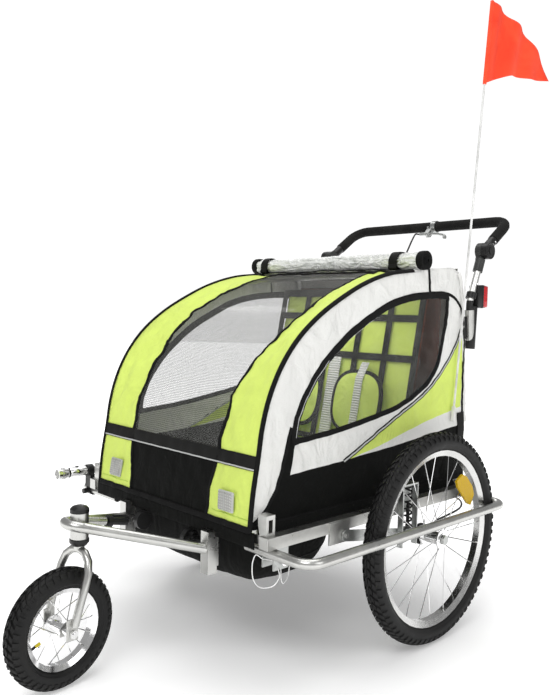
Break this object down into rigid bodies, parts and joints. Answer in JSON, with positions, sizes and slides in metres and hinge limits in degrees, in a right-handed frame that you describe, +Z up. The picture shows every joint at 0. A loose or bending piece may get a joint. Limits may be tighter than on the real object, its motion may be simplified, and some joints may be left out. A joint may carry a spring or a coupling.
{
  "type": "child bicycle trailer",
  "caption": "Two-seat child trailer with a fabric cabin on a tube frame, sprung spoked rear wheels, a swivelling front wheel, a push handle with a brake, side bumpers and a safety flag.",
  "frame": {"origin": "on the ground, under the middle of the trailer's bounding box", "axes": "+Z up, +Y towards the rear and the push handle, +X towards the trailer's left side"},
  "size_m": [0.867, 1.5499, 1.6283],
  "materials": {
    "silver_steel": "satin silver tube",
    "chrome": "bright plated",
    "zinc_plate": "zinc-plated sheet",
    "black_plastic": "matt black moulding",
    "black_foam": "soft black foam",
    "tyre_rubber": "knobbly black rubber",
    "green_fabric": "lime-green woven fabric",
    "white_fabric": "off-white woven fabric",
    "black_fabric": "coarse black woven fabric",
    "clear_film": "crinkled clear film, rolled up",
    "coated_wire": "white-coated wire rope",
    "amber_reflector": "ribbed amber reflector",
    "orange_red_fabric": "thin orange-red flag cloth",
    "white_fibreglass": "white fibreglass rod"
  },
  "bodies": {
    "frame": {"base_frame": "silver_steel", "side_hoop_left": "silver_steel", "side_hoop_right": "silver_steel", "top_crossbar": "silver_steel", "bumper_left": "silver_steel", "bumper_right": "silver_steel", "hitch_bracket": "zinc_plate", "front_lanyard": "coated_wire", "rear_lanyard": "coated_wire", "spring_housing_left": "zinc_plate", "spring_housing_right": "zinc_plate", "coil_spring_left": "black_plastic", "coil_spring_right": "black_plastic", "handle_post_left": "silver_steel", "handle_post_right": "silver_steel", "handle_joint_left": "black_plastic", "handle_joint_right": "black_plastic", "tail_light": "black_plastic", "flashlight": "chrome", "flashlight_clamp": "black_plastic", "flag_pole": "white_fibreglass", "flag": "orange_red_fabric", "tub": "black_fabric", "side_panel_left": "white_fabric", "side_panel_right": "white_fabric", "rear_panel": "white_fabric", "rain_roll": "clear_film", "seat": "green_fabric", "backrest": "green_fabric", "front_arm": "silver_steel", "head_cap": "black_plastic", "brake_cable": "black_plastic"},
    "arm_left": {"trailing_arm_left": "zinc_plate", "brake_drum": "black_plastic"},
    "arm_right": {"trailing_arm_right": "zinc_plate"},
    "wheel_left": {"rear_tyre_left": "tyre_rubber", "rear_rim_left": "silver_steel", "rear_hub_left": "chrome", "wheel_reflector": "amber_reflector"},
    "wheel_right": {"rear_tyre_right": "tyre_rubber", "rear_rim_right": "silver_steel", "rear_hub_right": "chrome"},
    "swivel_fork": {"fork": "silver_steel", "fork_cover": "black_plastic", "front_axle": "chrome"},
    "front_wheel": {"front_tyre": "tyre_rubber", "front_rim": "chrome", "front_hub": "chrome"},
    "handle": {"handlebar": "black_plastic", "handle_grip": "black_foam", "brake_clamp": "zinc_plate"},
    "lever": {"brake_lever": "zinc_plate"},
    "button_left": {"joint_button_left": "black_plastic"},
    "button_right": {"joint_button_right": "black_plastic"},
    "cover": {"front_cover": "green_fabric"},
    "switch": {"flashlight_switch": "black_plastic"},
    "lock": {"swivel_lock_pull": "black_plastic"},
    "pin": {"hitch_pin": "chrome"},
    "knob_left": {"arm_knob_left": "black_plastic"},
    "knob_right": {"arm_knob_right": "black_plastic"}
  },
  "joints": [
    {"name": "suspension_left", "type": "hinge", "parent": "frame", "child": "arm_left", "pos_m": [0.3425, -0.16, 0.2985], "axis": [1, 0, 0], "range_deg": [0, 3], "stiffness_Nm_per_rad": 400, "springref_deg": -4.58, "deforming": ["coil_spring_left"]},
    {"name": "wheel_spin_left", "type": "hinge", "parent": "arm_left", "child": "wheel_left", "pos_m": [0.385, 0.113, 0.2515], "axis": [1, 0, 0], "continuous": true},
    {"name": "suspension_right", "type": "hinge", "parent": "frame", "child": "arm_right", "pos_m": [-0.3425, -0.16, 0.2985], "axis": [1, 0, 0], "range_deg": [0, 3], "stiffness_Nm_per_rad": 400, "springref_deg": -4.58, "deforming": ["coil_spring_right"]},
    {"name": "wheel_spin_right", "type": "hinge", "parent": "arm_right", "child": "wheel_right", "pos_m": [-0.385, 0.113, 0.2515], "axis": [1, 0, 0], "continuous": true},
    {"name": "fork_swivel", "type": "hinge", "parent": "frame", "child": "swivel_fork", "pos_m": [0, -0.608, 0.3], "axis": [0, 0, 1], "continuous": true},
    {"name": "front_wheel_spin", "type": "hinge", "parent": "swivel_fork", "child": "front_wheel", "pos_m": [0.00442, -0.65148, 0.1238], "axis": [0.9949, 0.1011, 0], "continuous": true},
    {"name": "handle_angle", "type": "hinge", "parent": "frame", "child": "handle", "pos_m": [0, 0.467, 0.96], "axis": [1, 0, 0], "range_deg": [-50, 80]},
    {"name": "brake_lever_pull", "type": "hinge", "parent": "handle", "child": "lever", "pos_m": [0.022, 0.58, 1.0335], "axis": [0, -0.6848, 0.7287], "range_deg": [0, 13], "stiffness_Nm_per_rad": 0.4, "springref_deg": -11.46},
    {"name": "angle_button_left", "type": "slide", "parent": "handle", "child": "button_left", "axis": [-1, 0, 0], "range_m": [0, 0.0025], "stiffness_N_per_m": 500, "springref_m": -0.002},
    {"name": "angle_button_right", "type": "slide", "parent": "handle", "child": "button_right", "axis": [1, 0, 0], "range_m": [0, 0.0025], "stiffness_N_per_m": 500, "springref_m": -0.002},
    {"name": "cover_opening", "type": "hinge", "parent": "frame", "child": "cover", "pos_m": [0, 0.136, 0.888], "axis": [-1, 0, 0], "range_deg": [0, 70]},
    {"name": "flashlight_button", "type": "slide", "parent": "frame", "child": "switch", "axis": [0, 0, -1], "range_m": [0, 0.0015], "stiffness_N_per_m": 400, "springref_m": -0.001},
    {"name": "swivel_lock", "type": "slide", "parent": "frame", "child": "lock", "axis": [0, 0.9798, -0.2], "range_m": [0, 0.008], "stiffness_N_per_m": 800, "springref_m": -0.004},
    {"name": "hitch_pin_pull", "type": "slide", "parent": "frame", "child": "pin", "axis": [1, 0, 0], "range_m": [0, 0.03]},
    {"name": "knob_turn_left", "type": "hinge", "parent": "frame", "child": "knob_left", "pos_m": [0.09, -0.39, 0.279], "axis": [1, 0, 0], "continuous": true},
    {"name": "knob_turn_right", "type": "hinge", "parent": "frame", "child": "knob_right", "pos_m": [-0.09, -0.39, 0.279], "axis": [1, 0, 0], "continuous": true}
  ]
}
